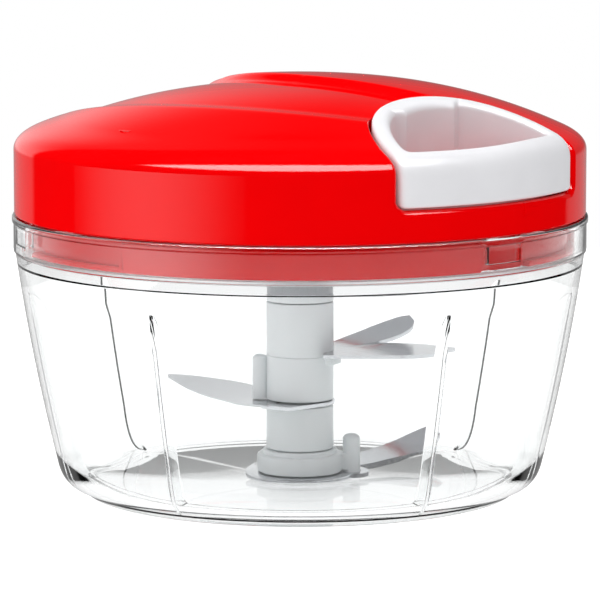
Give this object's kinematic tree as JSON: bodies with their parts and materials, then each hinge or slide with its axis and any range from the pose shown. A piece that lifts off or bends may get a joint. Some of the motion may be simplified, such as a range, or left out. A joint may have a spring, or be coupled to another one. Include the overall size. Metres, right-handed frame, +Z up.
{
  "type": "pull-cord food chopper",
  "caption": "Round hand food chopper: a clear ribbed bowl with a stack of curved steel blades, under a domed red lid whose handle pulls a cord to spin them.",
  "frame": {"origin": "centre of the bowl's foot ring, at the height of the surface that it stands on", "axes": "+Z up along the axis of the blades, +X the way the handle is pulled out of the lid, +Y to the left of it"},
  "size_m": [0.16, 0.16, 0.1158],
  "materials": {
    "bowl_clear": "clear, polished",
    "lid_red": "gloss",
    "white_plastic": "satin",
    "grey_plastic": "satin",
    "stainless_steel": "brushed",
    "dark_plastic": "matte",
    "silicone": "satin",
    "cord_white": "woven"
  },
  "bodies": {
    "bowl": {"bowl": "bowl_clear", "spindle_pin": "stainless_steel"},
    "seal": {"lid_seal": "silicone"},
    "lid": {"lid_cover": "lid_red", "lid_base": "lid_red", "thrust_washer": "white_plastic", "cord_span": "cord_white", "cord_eyelet": "stainless_steel", "mechanism_cap": "dark_plastic", "axle": "stainless_steel", "cover_screw_1": "stainless_steel", "cover_screw_2": "stainless_steel", "cover_screw_3": "stainless_steel", "cap_screw_1": "stainless_steel", "cap_screw_2": "stainless_steel", "cap_screw_3": "stainless_steel"},
    "handle": {"pull_handle": "white_plastic", "cord_lead": "cord_white", "cord_knot": "cord_white"},
    "reel": {"reel": "white_plastic", "cord_winding": "cord_white", "return_spring": "stainless_steel"},
    "drive_hub": {"drive_hub": "white_plastic", "pawl_pin_1": "stainless_steel", "pawl_pin_2": "stainless_steel"},
    "pawl_1": {"pawl_1": "dark_plastic"},
    "pawl_2": {"pawl_2": "dark_plastic"},
    "blades": {"blade_core": "white_plastic", "lower_sleeve": "white_plastic", "middle_sleeve": "white_plastic", "upper_sleeve": "white_plastic", "drive_cap": "grey_plastic", "lower_blade": "stainless_steel", "middle_blade": "stainless_steel", "upper_blade": "stainless_steel"}
  },
  "joints": [
    {"name": "lid_lift", "type": "slide", "parent": "bowl", "child": "seal", "axis": [0, 0, 1], "range_m": [0, 0.12]},
    {"name": "lid_turn", "type": "hinge", "parent": "seal", "child": "lid", "pos_m": [0, 0, 0.0686], "axis": [0, 0, 1], "range_deg": [-20, 0]},
    {"name": "handle_pull", "type": "slide", "parent": "lid", "child": "handle", "axis": [1, 0, 0], "range_m": [0, 0.3], "stiffness_N_per_m": 10, "springref_m": -0.2},
    {"name": "reel_spin", "type": "hinge", "parent": "lid", "child": "reel", "pos_m": [0, 0, 0.084], "axis": [0, 0, 1], "range_deg": [0, 813]},
    {"name": "hub_spin", "type": "hinge", "parent": "lid", "child": "drive_hub", "pos_m": [0, 0, 0.072], "axis": [0, 0, 1], "range_deg": [0, 813]},
    {"name": "blade_spin", "type": "hinge", "parent": "bowl", "child": "blades", "pos_m": [0, 0, 0.03], "axis": [0, 0, 1], "range_deg": [0, 813]},
    {"name": "pawl_1_swing", "type": "hinge", "parent": "drive_hub", "child": "pawl_1", "pos_m": [0.01472, 0.0107, 0.0795], "axis": [0, 0, 1], "range_deg": [-12, 0]},
    {"name": "pawl_2_swing", "type": "hinge", "parent": "drive_hub", "child": "pawl_2", "pos_m": [-0.01472, -0.0107, 0.0795], "axis": [0, 0, 1], "range_deg": [-12, 0]}
  ],
  "couplings": [
    {"joint": "reel_spin", "follows": "handle_pull", "rad_per_m": 47.281},
    {"joint": "hub_spin", "follows": "handle_pull", "rad_per_m": 47.281},
    {"joint": "blade_spin", "follows": "handle_pull", "rad_per_m": 47.281}
  ]
}
